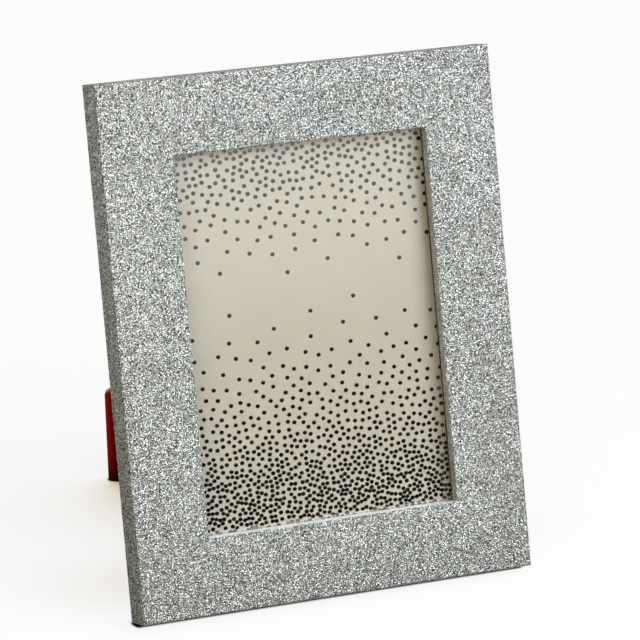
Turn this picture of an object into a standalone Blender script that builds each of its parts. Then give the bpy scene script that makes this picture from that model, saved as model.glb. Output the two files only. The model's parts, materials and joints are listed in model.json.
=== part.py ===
"""Picture frame for a table or a wall.

Four mitred MDF mouldings wrapped in glitter paper hold a glass, a printed card, a grey filler board and a
hardboard back. Turn buttons keep the back in. A hardboard leg hangs on a stop hinge set at a slant, so its
foot, cut to a square corner, carries the frame upright or on its side.

The frame is built flat: X runs to the right as seen from the front, Y from the front face to the back, and Z
up the face. A last step leans it back on the table. Lengths are in metres.
"""

import math

import bmesh
import bpy
from mathutils import Matrix, Vector

# Opening and moulding
OPENING_W = 0.126
OPENING_H = 0.1755
MOULDING_W = 0.036
RABBET_W = 0.0032
LIP_DEPTH = 0.0066

# Glitter paper round the moulding
WRAP_T = 0.0004
WRAP_TURN_IN = 0.009
FRONT_RADIUS = 0.001
SIGHT_RADIUS = 0.0008
BACK_RADIUS = 0.0008

# Sheets behind the lip, from front to back
GLASS_T = 0.002
CARD_T = 0.0004
FILLER_T = 0.0021
BOARD_T = 0.003
SHEET_PLAY_W = 0.0012
SHEET_PLAY_H = 0.00095
GLASS_ARRIS = 0.0003
BOARD_CHAMFER = 0.0008

# Clearance between pieces that touch, and where glue or a rolled knuckle needs another one
GAP = 0.0003
PIN_CLEARANCE = 0.0002
FOLD_CLEARANCE = 0.0004

# Corner nails: V-shaped strips pressed in from the back, across each mitre
CORNER_NAIL_LEG = 0.005
CORNER_NAIL_T = 0.0005
CORNER_NAIL_DEPTH = 0.006
CORNER_NAIL_MARGIN = 0.002

# How the frame stands
LEAN = math.radians(18)
HINGE_HEIGHT = 0.1415
HINGE_FROM_BOARD_EDGE = 0.0262
FOOT_FROM_SIDE = 0.0061

# Leg
LEG_T = 0.0025
LEG_TOP_W = 0.042
LEG_TOP_CLEARANCE = 0.001
LEG_TOP_RADIUS = 0.005
FOOT_CUT = 0.056
FOOT_RADIUS = 0.0006
SHOULDER_RADIUS = 0.0015

# Stop hinge, rolled from sheet
HINGE_SHEET_T = 0.0008
HINGE_W = 0.030
HINGE_PLATE_H = 0.016
HINGE_LEAF_H = 0.019
HINGE_PLATE_RADIUS = 0.002
KNUCKLE_W = 0.0037
KNUCKLE_SWEEP = math.radians(285)
KNUCKLE_STEPS = 14
STOP_TONGUE_W = 0.005
STOP_TONGUE_FOOT = 0.005
PIN_HEAD_T = 0.0008

# Rivets
RIVET_SHANK_R = 0.0013
RIVET_HEAD_R = 0.0025
RIVET_HEAD_H = 0.001
RIVET_FLANGE_R = 0.0021
RIVET_FLANGE_T = 0.0004
RIVET_FROM_SIDE = 0.0055
RIVET_FROM_END = 0.0055

# Turn buttons
BUTTON_T = 0.0008
BUTTON_PIVOT_R = 0.005
BUTTON_TIP_R = 0.0032
BUTTON_LENGTH = 0.013
BUTTON_BEND_FROM_TIP = 0.0035
BUTTON_BEND = math.radians(22)
BUTTON_FROM_RABBET = 0.008
BUTTON_SPREAD = 0.063
BUTTON_CLEARANCE = 0.004

# Screws of the turn buttons
SCREW_SHANK_R = 0.0015
SCREW_HEAD_R = 0.003
SCREW_HEAD_H = 0.0015
SCREW_LENGTH = 0.0095
SCREW_POINT = 0.002

# Saw-tooth hangers, one for each way up
HANGER_LENGTH = 0.042
HANGER_W = 0.009
HANGER_T = 0.0008
HANGER_FOOT = 0.007
HANGER_RISE = 0.0016
HANGER_JOGGLE = 0.002
TOOTH_PITCH = 0.0023
TOOTH_DEPTH = 0.001
NAIL_SHANK_R = 0.0008
NAIL_HEAD_R = 0.0018
NAIL_HEAD_H = 0.0007
NAIL_LENGTH = 0.009
NAIL_POINT = 0.0018

# Sides on a round piece, steps in a quarter-turn fillet, at a sheet's rounded corner and round a button's end
ROUND_STEPS = 20
FILLET_STEPS = 4
SHEET_CORNER_STEPS = 3
BUTTON_END_STEPS = 10

# Points nearer than this are one point, and an edge sharper than this angle stays crisp
WELD = 1e-6
CRISP_ANGLE = math.radians(35)

# Frame sizes that follow
OUTER_W = OPENING_W + 2 * MOULDING_W
OUTER_H = OPENING_H + 2 * MOULDING_W
POCKET_W = OPENING_W + 2 * RABBET_W
POCKET_H = OPENING_H + 2 * RABBET_W
CORE_INSET = WRAP_T + GAP

# Depths from the front face that follow
GLASS_FRONT = LIP_DEPTH + GAP
CARD_FRONT = GLASS_FRONT + GLASS_T + GAP
FILLER_FRONT = CARD_FRONT + CARD_T + GAP
BOARD_FRONT = FILLER_FRONT + FILLER_T + GAP
CORE_BACK = BOARD_FRONT + BOARD_T
DEPTH = CORE_BACK + GAP + WRAP_T

# Hinge sizes that follow: the knuckle is as fat as the folded leg needs to clear the wrap
KNUCKLE_R = (LEG_T + GAP + WRAP_T + FOLD_CLEARANCE) / 2
KNUCKLE_OUTER_R = KNUCKLE_R + HINGE_SHEET_T / 2
PIN_R = KNUCKLE_R - HINGE_SHEET_T / 2 - PIN_CLEARANCE
HINGE_DEPTH = CORE_BACK + GAP + KNUCKLE_OUTER_R
HINGE_X = POCKET_W / 2 - GAP - HINGE_FROM_BOARD_EDGE
LEG_BACK = KNUCKLE_R - HINGE_SHEET_T / 2 - GAP
LEG_FRONT = LEG_BACK - LEG_T
LEG_TOP = -KNUCKLE_OUTER_R - LEG_TOP_CLEARANCE
NECK = KNUCKLE_OUTER_R + LEG_TOP_CLEARANCE - GAP
MIDDLE_W = STOP_TONGUE_W + 2 * (GAP + KNUCKLE_W)

# Where the folded foot lies, how the leg slants, and how far it opens until the cut lies on the table
FOOT_X = FOOT_FROM_SIDE - OUTER_W / 2
FOOT_Z = (HINGE_DEPTH - DEPTH - LEG_FRONT) * math.tan(LEAN)
LEG_SLANT = math.atan2(HINGE_X - FOOT_X, HINGE_HEIGHT - FOOT_Z)
LEG_LENGTH = math.hypot(HINGE_X - FOOT_X, HINGE_HEIGHT - FOOT_Z)
LEG_OPEN = 2 * math.atan(math.tan(LEAN) / math.cos(LEG_SLANT))
LEG_REACH_ASIDE = FOOT_CUT * max(math.sin(LEG_SLANT), math.cos(LEG_SLANT))

# Places of the turn buttons that follow
BUTTON_PIVOT_IN = MOULDING_W - RABBET_W - BUTTON_FROM_RABBET
BUTTON_SWEEP_R = BUTTON_LENGTH + BUTTON_TIP_R
BUTTON_FROM_LEG_LINE = LEG_REACH_ASIDE + BUTTON_SWEEP_R + BUTTON_CLEARANCE
BUTTON_FROM_HANGER = HANGER_LENGTH / 2 + BUTTON_SWEEP_R + BUTTON_CLEARANCE

# Where the nails go through the feet of a hanger
HANGER_NAIL_X = (HANGER_LENGTH - HANGER_FOOT) / 2

# Each side of the frame: its turn about Y, the middle of its outer edge, and its outer length
SIDES = {
    "bottom": (0.0, (0.0, 0.0), OUTER_W),
    "right": (-math.pi / 2, (OUTER_W / 2, OUTER_H / 2), OUTER_H),
    "top": (math.pi, (0.0, OUTER_H), OUTER_W),
    "left": (math.pi / 2, (-OUTER_W / 2, OUTER_H / 2), OUTER_H),
}


# Scene and helpers


def clear_scene():
    for old in list(bpy.data.objects):
        bpy.data.objects.remove(old, do_unlink=True)


def new_collection(name):
    made = bpy.data.collections.new(name)
    bpy.context.scene.collection.children.link(made)
    return made


def new_material(name, colour, roughness, metallic=0.0):
    made = bpy.data.materials.new(name)
    made.use_nodes = True
    made.diffuse_color = (*colour, 1.0)
    shader = made.node_tree.nodes["Principled BSDF"]
    shader.inputs["Base Color"].default_value = (*colour, 1.0)
    shader.inputs["Roughness"].default_value = roughness
    shader.inputs["Metallic"].default_value = metallic
    return made


def new_empty(name, parent=None, location=(0, 0, 0), turn=(0, 0, 0)):
    made = bpy.data.objects.new(name, None)
    made.empty_display_size = 0.02
    made.location = location
    made.rotation_euler = turn
    made.parent = parent
    PARTS.objects.link(made)
    return made


def new_part(name, mesh, material, parent, location=(0, 0, 0), turn=(0, 0, 0)):
    """A named piece of the frame, shaded smooth except over sharp edges. Like pieces share one mesh."""
    made = bpy.data.objects.new(name, mesh)
    mesh.materials.clear()
    mesh.materials.append(material)
    mesh.shade_smooth()
    mesh.set_sharp_from_angle(angle=CRISP_ANGLE)
    made.location = location
    made.rotation_euler = turn
    made.parent = parent
    PARTS.objects.link(made)
    return made


def new_cutter(name, mesh, parent, location=(0, 0, 0), turn=(0, 0, 0)):
    made = bpy.data.objects.new(name, mesh)
    made.hide_render = True
    made.display_type = "WIRE"
    made.location = location
    made.rotation_euler = turn
    made.parent = parent
    CUTTERS.objects.link(made)
    return made


def cut(part, cutter):
    made = part.modifiers.new("cut " + cutter.name, "BOOLEAN")
    made.operation = "DIFFERENCE"
    made.solver = "EXACT"
    made.object = cutter


def mesh_from(shape, turn=None):
    """Turns a finished bmesh into a mesh, after an optional turn of its axes."""
    if turn is not None:
        bmesh.ops.transform(shape, matrix=turn, verts=shape.verts)
    mesh = bpy.data.meshes.new("shape")
    shape.to_mesh(mesh)
    shape.free()
    return mesh


def evaluated_mesh(obj):
    """The mesh of an object with its modifiers applied. The object itself is removed."""
    bpy.context.scene.collection.objects.link(obj)
    graph = bpy.context.evaluated_depsgraph_get()
    mesh = bpy.data.meshes.new_from_object(obj.evaluated_get(graph))
    bpy.data.objects.remove(obj, do_unlink=True)
    return mesh


def copies(mesh, places):
    """One mesh that holds a separate copy of the given one at each place."""
    shape = bmesh.new()
    for place in places:
        start = len(shape.verts)
        shape.from_mesh(mesh)
        shape.verts.ensure_lookup_table()
        bmesh.ops.transform(shape, matrix=place, verts=shape.verts[start:])
    return mesh_from(shape)


# Shapes


def rounded(corners, closed=True):
    """The outline through (x, y, radius) corners, with an arc wherever the radius isn't zero."""
    outline = []
    count = len(corners)
    for i, (x, y, radius) in enumerate(corners):
        here = Vector((x, y))
        if radius <= 0 or (not closed and i in (0, count - 1)):
            outline.append(here)
            continue
        before = (Vector(corners[i - 1][:2]) - here).normalized()
        after = (Vector(corners[(i + 1) % count][:2]) - here).normalized()
        half = before.angle(after) / 2
        centre = here + (before + after).normalized() * radius / math.sin(half)
        start = here + before * radius / math.tan(half) - centre
        sweep = start.angle_signed(here + after * radius / math.tan(half) - centre)
        steps = max(2, round(FILLET_STEPS * abs(sweep) / (math.pi / 2)))
        for step in range(steps + 1):
            outline.append(centre + Matrix.Rotation(-sweep * step / steps, 2) @ start)
    return outline


def outline_mesh(outline, thickness, turn=None):
    """A flat outline given a thickness along Z, half on each side, with its caps welded on."""
    curve = bpy.data.curves.new("outline", "CURVE")
    curve.dimensions = "2D"
    curve.fill_mode = "BOTH"
    curve.extrude = thickness / 2
    spline = curve.splines.new("POLY")
    spline.points.add(len(outline) - 1)
    for point, (x, y) in zip(spline.points, outline):
        point.co = (x, y, 0, 1)
    spline.use_cyclic_u = True
    mesh = evaluated_mesh(bpy.data.objects.new("outline", curve))
    bpy.data.curves.remove(curve)
    shape = bmesh.new()
    shape.from_mesh(mesh)
    bmesh.ops.remove_doubles(shape, verts=shape.verts, dist=WELD)
    bmesh.ops.recalc_face_normals(shape, faces=shape.faces)
    return mesh_from(shape, turn)


def box_shape(low, high):
    low = Vector(low)
    high = Vector(high)
    shape = bmesh.new()
    bmesh.ops.create_cube(shape, size=1.0)
    size = Matrix.Diagonal((*(high - low), 1.0))
    bmesh.ops.transform(shape, matrix=Matrix.Translation((low + high) / 2) @ size, verts=shape.verts)
    return shape


def rod_shape(radius, start, end):
    """A cylinder along Y between two depths."""
    shape = bmesh.new()
    along = Matrix.Translation((0, (start + end) / 2, 0)) @ Matrix.Rotation(math.pi / 2, 4, "X")
    bmesh.ops.create_cone(
        shape,
        cap_ends=True,
        segments=ROUND_STEPS,
        radius1=radius,
        radius2=radius,
        depth=end - start,
        matrix=along,
    )
    return shape


def turned_mesh(profile):
    """A solid of revolution from (radius, height) points that run down its outer side.

    Its height is laid along Y, so that up is towards the back of the frame.
    """
    mesh = bpy.data.meshes.new("profile")
    edges = [(i, i + 1) for i in range(len(profile) - 1)]
    mesh.from_pydata([(radius, 0, height) for radius, height in profile], edges, [])
    spun = bpy.data.objects.new("profile", mesh)
    screw = spun.modifiers.new("turn", "SCREW")
    screw.steps = ROUND_STEPS
    screw.render_steps = ROUND_STEPS
    screw.use_merge_vertices = True
    screw.merge_threshold = WELD
    shape = bmesh.new()
    shape.from_mesh(evaluated_mesh(spun))
    return mesh_from(shape, Matrix.Rotation(-math.pi / 2, 4, "X"))


def domed_head(radius, height, base):
    """Profile points of a domed head, from its crown down to its rim."""
    steps = FILLET_STEPS
    points = []
    for step in range(steps + 1):
        angle = math.pi / 2 * step / steps
        points.append((radius * math.sin(angle), base + height * math.cos(angle)))
    return points


def folded_sheet(columns, thickness, corner_radius=0.0):
    """A mesh bent from sheet. Each column is (x from, x to, path), a path being (y, z) points.

    Neighbouring columns share the points at the start of their paths, and are welded there. The corners at
    the paths' start are rounded.
    """
    shape = bmesh.new()
    for x_from, x_to, path in columns:
        rows = [[shape.verts.new((x, y, z)) for x in (x_from, x_to)] for y, z in path]
        for row, following in zip(rows, rows[1:]):
            shape.faces.new((row[0], row[1], following[1], following[0]))
    bmesh.ops.remove_doubles(shape, verts=shape.verts, dist=WELD)
    if corner_radius > 0:
        ends = (columns[0][0], columns[-1][1])
        first = Vector(columns[0][2][0])
        corners = [
            vert
            for vert in shape.verts
            if (Vector(vert.co.yz) - first).length < WELD and min(abs(vert.co.x - end) for end in ends) < WELD
        ]
        bmesh.ops.bevel(
            shape,
            geom=corners,
            offset=corner_radius,
            segments=SHEET_CORNER_STEPS,
            affect="VERTICES",
            profile=0.5,
        )
    sheet = bpy.data.objects.new("sheet", mesh_from(shape))
    wall = sheet.modifiers.new("sheet", "SOLIDIFY")
    wall.thickness = thickness
    wall.offset = 0
    wall.use_even_offset = True
    return evaluated_mesh(sheet)


def knuckle(start, sweep):
    """(y, z) points of a sheet rolled round the hinge line, from the given angle off +Y."""
    points = []
    for step in range(1, KNUCKLE_STEPS + 1):
        angle = start + sweep * step / KNUCKLE_STEPS
        points.append((KNUCKLE_R * math.cos(angle), KNUCKLE_R * math.sin(angle)))
    return points


# Moulding


def moulding_mesh(outline, outer_length):
    """A length of moulding from its (distance in, depth) outline, mitred at both ends."""
    shape = bmesh.new()
    shape.from_mesh(outline_mesh(outline, outer_length, Matrix.Rotation(-math.pi / 2, 4, "Y")))
    end = outer_length / 2 - GAP / math.sqrt(2)
    for vert in shape.verts:
        vert.co.x = math.copysign(end - vert.co.z, vert.co.x)
    return mesh_from(shape)


def level_radius(radius, inset):
    """The radius of a rounded edge on a surface that lies further in."""
    return max(radius - inset, 0.0)


def core_outline():
    front = level_radius(FRONT_RADIUS, CORE_INSET)
    sight = level_radius(SIGHT_RADIUS, CORE_INSET)
    return rounded(
        [
            (CORE_INSET, CORE_INSET, front),
            (MOULDING_W - CORE_INSET, CORE_INSET, sight),
            (MOULDING_W - CORE_INSET, LIP_DEPTH, 0),
            (MOULDING_W - RABBET_W, LIP_DEPTH, 0),
            (MOULDING_W - RABBET_W, CORE_BACK, 0),
            (CORE_INSET, CORE_BACK, level_radius(BACK_RADIUS, CORE_INSET)),
        ]
    )


def wrap_face(inset):
    """One face of the paper, from where it is turned in at the back to where it ends behind the lip."""
    return rounded(
        [
            (WRAP_TURN_IN, DEPTH - inset, 0),
            (inset, DEPTH - inset, level_radius(BACK_RADIUS, inset)),
            (inset, inset, level_radius(FRONT_RADIUS, inset)),
            (MOULDING_W - inset, inset, level_radius(SIGHT_RADIUS, inset)),
            (MOULDING_W - inset, LIP_DEPTH, 0),
        ],
        closed=False,
    )


def build_moulding(parent):
    """The four wrapped rails, and the cores for later cuts."""
    cores = {}
    wrap_outline = wrap_face(0.0) + wrap_face(WRAP_T)[::-1]
    for side, (turn, (x, z), length) in SIDES.items():
        place = {"location": (x, 0, z), "turn": (0, turn, 0)}
        core = moulding_mesh(core_outline(), length)
        cores[side] = new_part("rail_" + side, core, MDF, parent, **place)
        wrap = moulding_mesh(wrap_outline, length)
        new_part("glitter_wrap_" + side, wrap, GLITTER, parent, **place)
    return cores


def corner_nail_mesh(thickness, leg, depth):
    """A V of strip metal whose point looks away from the frame's corner, standing along Y."""
    path = [(-leg, 0), (0, 0), (0, -leg)]
    mesh = folded_sheet([(-depth / 2, depth / 2, path)], thickness)
    mesh.transform(Matrix(((0, 1, 0, 0), (1, 0, 0, 0), (0, 0, 1, 0), (0, 0, 0, 1))))
    mesh.flip_normals()
    return mesh


def build_corner_nails(parent, cores):
    """Two nails in each corner, on the line of the mitre, and the slots that they press into the rails."""
    outer = WRAP_TURN_IN + CORNER_NAIL_LEG + CORNER_NAIL_MARGIN
    inner = MOULDING_W - RABBET_W - CORNER_NAIL_MARGIN
    nail_back = CORE_BACK - GAP
    nail_depth = nail_back - CORNER_NAIL_DEPTH / 2
    slot_back = CORE_BACK + GAP
    slot_length = slot_back - (nail_back - CORNER_NAIL_DEPTH - GAP)
    slot_depth = slot_back - slot_length / 2
    nail = corner_nail_mesh(CORNER_NAIL_T, CORNER_NAIL_LEG, CORNER_NAIL_DEPTH)
    slot = corner_nail_mesh(CORNER_NAIL_T + 2 * GAP, CORNER_NAIL_LEG + GAP, slot_length)
    slot_places = []
    for corner, x_side, z_side in (
        ("bottom_left", -1, -1),
        ("bottom_right", 1, -1),
        ("top_left", -1, 1),
        ("top_right", 1, 1),
    ):
        turn = math.pi * 5 / 4 - math.atan2(z_side, x_side)
        for where, inward in (("outer", outer), ("inner", inner)):
            x = x_side * (OUTER_W / 2 - inward)
            z = OUTER_H / 2 + z_side * (OUTER_H / 2 - inward)
            name = "corner_nail_" + corner + "_" + where
            new_part(name, nail, STEEL, parent, location=(x, nail_depth, z), turn=(0, turn, 0))
            slot_places.append(Matrix.Translation((x, slot_depth, z)) @ Matrix.Rotation(turn, 4, "Y"))
    slots = new_cutter("corner_nail_slots", copies(slot, slot_places), parent)
    for core in cores.values():
        cut(core, slots)


# Sheets behind the lip


def sheet_box(front, thickness, play_w, play_h):
    """A sheet in the rabbet that has slid down onto the lower rail."""
    low = MOULDING_W - RABBET_W + GAP
    high = low + POCKET_H - 2 * play_h
    half = POCKET_W / 2 - play_w
    return box_shape((-half, front, low), (half, front + thickness, high))


def build_sheets(parent):
    glass_mesh = mesh_from(sheet_box(GLASS_FRONT, GLASS_T, SHEET_PLAY_W, SHEET_PLAY_H))
    glass = new_part("glass_pane", glass_mesh, GLASS, parent)
    arris = glass.modifiers.new("ground edges", "BEVEL")
    arris.width = GLASS_ARRIS
    arris.segments = 1
    card = sheet_box(CARD_FRONT, CARD_T, SHEET_PLAY_W, SHEET_PLAY_H)
    new_part("printed_card", mesh_from(card), CARD, parent)
    filler = sheet_box(FILLER_FRONT, FILLER_T, SHEET_PLAY_W, SHEET_PLAY_H)
    new_part("filler_board", mesh_from(filler), GREYBOARD, parent)
    board = sheet_box(BOARD_FRONT, BOARD_T, GAP, GAP)
    rim = [edge for edge in board.edges if all(vert.co.y > CORE_BACK - BOARD_T / 2 for vert in edge.verts)]
    bmesh.ops.bevel(board, geom=rim, offset=BOARD_CHAMFER, segments=1, affect="EDGES")
    return new_part("backboard", mesh_from(board), RED_BOARD, parent)


# Hinge


def rivet_mesh(back, front):
    """A rivet whose head stands on the back of what it holds and whose flange is sunk into the front."""
    profile = domed_head(RIVET_HEAD_R, RIVET_HEAD_H, back + GAP)
    profile += [
        (RIVET_SHANK_R, back + GAP),
        (RIVET_SHANK_R, front + GAP + RIVET_FLANGE_T),
        (RIVET_FLANGE_R, front + GAP + RIVET_FLANGE_T),
        (RIVET_FLANGE_R, front + GAP),
        (0, front + GAP),
    ]
    return turned_mesh(profile)


def rivet_hole_meshes(back, front):
    """The hole of one rivet and the sink for its flange, as two separate cutters."""
    hole = mesh_from(rod_shape(RIVET_SHANK_R + GAP, front - GAP, back + GAP))
    sink = mesh_from(rod_shape(RIVET_FLANGE_R + GAP, front - GAP, front + RIVET_FLANGE_T + 2 * GAP))
    return hole, sink


def rivet_to_board(name, parent, board, sheet, z, sheet_back, board_front):
    """A pair of rivets through a hinge sheet and the board in front of it, with their holes."""
    rivet = rivet_mesh(sheet_back, board_front)
    hole, sink = rivet_hole_meshes(sheet_back, board_front)
    x = HINGE_W / 2 - RIVET_FROM_SIDE
    places = {"left": (-x, 0, z), "right": (x, 0, z)}
    for side, place in places.items():
        new_part(name + "_" + side, rivet, BRASSED, parent, location=place)
    row = [Matrix.Translation(place) for place in places.values()]
    holes = new_cutter(name + "_holes", copies(hole, row), parent)
    sinks = new_cutter(name + "_sinks", copies(sink, row), parent)
    cut(board, holes)
    cut(board, sinks)
    cut(sheet, holes)


def build_hinge_plate(parent):
    """The fixed half: it comes down from above and rolls round the pin at both sides."""
    flat = [(-KNUCKLE_R, HINGE_PLATE_H), (-KNUCKLE_R, NECK)]
    rolled = flat + [(-KNUCKLE_R, 0)] + knuckle(math.pi, KNUCKLE_SWEEP)
    side = HINGE_W / 2
    middle = MIDDLE_W / 2 + GAP
    columns = [
        (-side, -middle, rolled),
        (-middle, middle, flat),
        (middle, side, rolled),
    ]
    mesh = folded_sheet(columns, HINGE_SHEET_T, HINGE_PLATE_RADIUS)
    return new_part("hinge_plate", mesh, STEEL, parent)


def build_hinge_leaf(parent):
    """The moving half: two knuckles, and between them a tongue that meets the plate when the leg is open."""
    flat = [(KNUCKLE_R, -HINGE_LEAF_H), (KNUCKLE_R, -NECK)]
    rolled = flat + [(KNUCKLE_R, 0)] + knuckle(0, KNUCKLE_SWEEP)
    bend = (KNUCKLE_R * math.cos(LEG_OPEN) + KNUCKLE_R - HINGE_SHEET_T - GAP) / math.sin(LEG_OPEN)
    tip_y = KNUCKLE_R + STOP_TONGUE_FOOT * math.sin(LEG_OPEN)
    tip_z = bend + STOP_TONGUE_FOOT * math.cos(LEG_OPEN)
    bent = flat + [(KNUCKLE_R, bend), (tip_y, tip_z)]
    side = HINGE_W / 2
    middle = MIDDLE_W / 2
    tongue = STOP_TONGUE_W / 2
    slit = tongue + GAP
    columns = [
        (-side, -middle, flat),
        (-middle, -slit, rolled),
        (-slit, -tongue, flat),
        (-tongue, tongue, bent),
        (tongue, slit, flat),
        (slit, middle, rolled),
        (middle, side, flat),
    ]
    mesh = folded_sheet(columns, HINGE_SHEET_T, HINGE_PLATE_RADIUS)
    return new_part("hinge_leaf", mesh, STEEL, parent)


def build_hinge_pin(parent):
    """A headed pin, closed over at its other end. It is turned upright and then laid along the hinge line."""
    half = HINGE_W / 2 + GAP
    head = KNUCKLE_R
    closed = (KNUCKLE_R + PIN_R) / 2
    profile = domed_head(head, PIN_HEAD_T, half)
    profile += [(PIN_R, half), (PIN_R, -half), (closed, -half)]
    profile += [(radius, -height) for radius, height in reversed(domed_head(closed, PIN_HEAD_T, half))][1:]
    pin = turned_mesh(profile)
    pin.transform(Matrix.Rotation(-math.pi / 2, 4, "Z"))
    new_part("hinge_pin", pin, STEEL, parent)


# Leg


def build_leg(parent):
    """The leg in its own plane: X along the hinge line, Z up its middle. Its foot is a square corner."""
    along_table = Vector((math.cos(LEG_SLANT), math.sin(LEG_SLANT)))
    along_side = Vector((-math.sin(LEG_SLANT), math.cos(LEG_SLANT)))
    foot = Vector((0, -LEG_LENGTH))
    right = foot + along_table * FOOT_CUT
    left = foot + along_side * FOOT_CUT
    outline = rounded(
        [
            (*foot, FOOT_RADIUS),
            (*right, SHOULDER_RADIUS),
            (LEG_TOP_W / 2, LEG_TOP, LEG_TOP_RADIUS),
            (-LEG_TOP_W / 2, LEG_TOP, LEG_TOP_RADIUS),
            (*left, SHOULDER_RADIUS),
        ]
    )
    mesh = outline_mesh(outline, LEG_T, Matrix.Rotation(math.pi / 2, 4, "X"))
    mesh.transform(Matrix.Translation((0, (LEG_FRONT + LEG_BACK) / 2, 0)))
    return new_part("easel_leg", mesh, RED_BOARD, parent)


# Turn buttons


def button_outline():
    """A tapered tab: a large round end about the pivot and a small one at the tip, joined by tangents."""
    rise = math.asin((BUTTON_PIVOT_R - BUTTON_TIP_R) / BUTTON_LENGTH)
    outline = []
    for radius, height, start, sweep in (
        (BUTTON_PIVOT_R, 0.0, math.pi - rise, math.pi + 2 * rise),
        (BUTTON_TIP_R, BUTTON_LENGTH, rise, math.pi - 2 * rise),
    ):
        for step in range(BUTTON_END_STEPS + 1):
            angle = start + sweep * step / BUTTON_END_STEPS
            outline.append((radius * math.cos(angle), height + radius * math.sin(angle)))
    return outline


def button_mesh():
    """The tab with its pivot hole, and its tip bent up so that a fingernail can lift it."""
    mesh = outline_mesh(button_outline(), BUTTON_T, Matrix.Rotation(math.pi / 2, 4, "X"))
    tab = bpy.data.objects.new("tab", mesh)
    hole = mesh_from(rod_shape(SCREW_SHANK_R + GAP, -BUTTON_T, BUTTON_T))
    hole_cutter = new_cutter("turn_button_hole", hole, None)
    cut(tab, hole_cutter)
    shape = bmesh.new()
    shape.from_mesh(evaluated_mesh(tab))
    bend = Vector((0, 0, BUTTON_LENGTH + BUTTON_TIP_R - BUTTON_BEND_FROM_TIP))
    everything = shape.verts[:] + shape.edges[:] + shape.faces[:]
    bmesh.ops.bisect_plane(shape, geom=everything, plane_co=bend, plane_no=(0, 0, 1), dist=WELD)
    tip = [vert for vert in shape.verts if vert.co.z > bend.z + WELD]
    bmesh.ops.rotate(shape, cent=bend, matrix=Matrix.Rotation(-BUTTON_BEND, 3, "X"), verts=tip)
    bmesh.ops.remove_doubles(shape, verts=shape.verts, dist=WELD)
    return mesh_from(shape)


def button_places():
    """Where each button's pivot is: its place in words, its side, and how far along that side."""
    pivot_x = BUTTON_PIVOT_IN - OUTER_W / 2
    pivot_z = BUTTON_PIVOT_IN
    # The two low ones stand clear of the folded leg, which lies across that corner of the back.
    beside_leg_z = (
        HINGE_HEIGHT
        + ((pivot_x - HINGE_X) * math.cos(LEG_SLANT) + BUTTON_FROM_LEG_LINE) / math.sin(LEG_SLANT)
    )
    beside_leg_x = (
        HINGE_X
        + ((pivot_z - HINGE_HEIGHT) * math.sin(LEG_SLANT) + BUTTON_FROM_LEG_LINE) / math.cos(LEG_SLANT)
    )
    return [
        ("left_low", "left", OUTER_H / 2 - beside_leg_z),
        ("left_high", "left", -BUTTON_SPREAD),
        ("right_low", "right", -BUTTON_SPREAD),
        ("right_high", "right", BUTTON_SPREAD),
        ("top", "top", BUTTON_FROM_HANGER),
        ("bottom", "bottom", beside_leg_x),
    ]


def on_side(side, along, inward, depth):
    """A place on one side of the frame, and the turn that points Z inwards there."""
    turn, (x, z), _ = SIDES[side]
    matrix = Matrix.Translation((x, 0, z)) @ Matrix.Rotation(turn, 4, "Y")
    return matrix @ Vector((along, depth, inward)), turn


def screw_mesh():
    """A domed wood screw, with the underside of its head at Y 0."""
    profile = domed_head(SCREW_HEAD_R, SCREW_HEAD_H, 0.0)
    profile += [
        (SCREW_SHANK_R, 0.0),
        (SCREW_SHANK_R, SCREW_POINT - SCREW_LENGTH),
        (0.0, -SCREW_LENGTH),
    ]
    return turned_mesh(profile)


def build_turn_buttons(parent, cores):
    """The buttons, each on its own pivot, then their screws and the screws' holes in the rails."""
    button_depth = CORE_BACK + GAP + BUTTON_T / 2
    screw_depth = CORE_BACK + GAP + BUTTON_T + GAP
    button = button_mesh()
    screw = screw_mesh()
    hole = mesh_from(rod_shape(SCREW_SHANK_R + GAP, -SCREW_LENGTH - GAP, 0))
    hole_places = {side: [] for side in SIDES}
    for where, side, along in button_places():
        place, turn = on_side(side, along, BUTTON_PIVOT_IN, button_depth)
        new_part("turn_button_" + where, button, STEEL, parent, location=place, turn=(0, turn, 0))
        place.y = screw_depth
        new_part("button_screw_" + where, screw, BRASSED, parent, location=place)
        hole_places[side].append(Matrix.Translation(place))
    for side, places in hole_places.items():
        cut(cores[side], new_cutter("screw_holes_" + side, copies(hole, places), parent))


# Hangers


def hanger_mesh():
    """A strip with flat feet and a raised middle whose inner edge is cut into teeth."""
    half = HANGER_LENGTH / 2
    step = half - HANGER_FOOT
    raised = step - HANGER_JOGGLE
    path = [
        (0, -half),
        (0, -step),
        (HANGER_RISE, -raised),
        (HANGER_RISE, raised),
        (0, step),
        (0, half),
    ]
    mesh = folded_sheet([(-HANGER_W / 2, HANGER_W / 2, path)], HANGER_T)
    mesh.transform(Matrix.Rotation(math.pi / 2, 4, "Y"))
    strip = bpy.data.objects.new("strip", mesh)
    count = int((2 * raised - TOOTH_PITCH) / TOOTH_PITCH)
    side = TOOTH_DEPTH * math.sqrt(2)
    notch = box_shape((-side / 2, -HANGER_T, -side / 2), (side / 2, HANGER_RISE + HANGER_T, side / 2))
    notch_mesh = mesh_from(notch, Matrix.Rotation(math.pi / 4, 4, "Y"))
    row = []
    for i in range(count):
        along = (i - (count - 1) / 2) * TOOTH_PITCH
        row.append(Matrix.Translation((along, 0, HANGER_W / 2)))
    cut(strip, new_cutter("hanger_teeth", copies(notch_mesh, row), None))
    hole = mesh_from(rod_shape(NAIL_SHANK_R + GAP, -HANGER_T, HANGER_T))
    ends = [Matrix.Translation((x, 0, 0)) for x in (-HANGER_NAIL_X, HANGER_NAIL_X)]
    cut(strip, new_cutter("hanger_holes", copies(hole, ends), None))
    return evaluated_mesh(strip)


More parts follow.
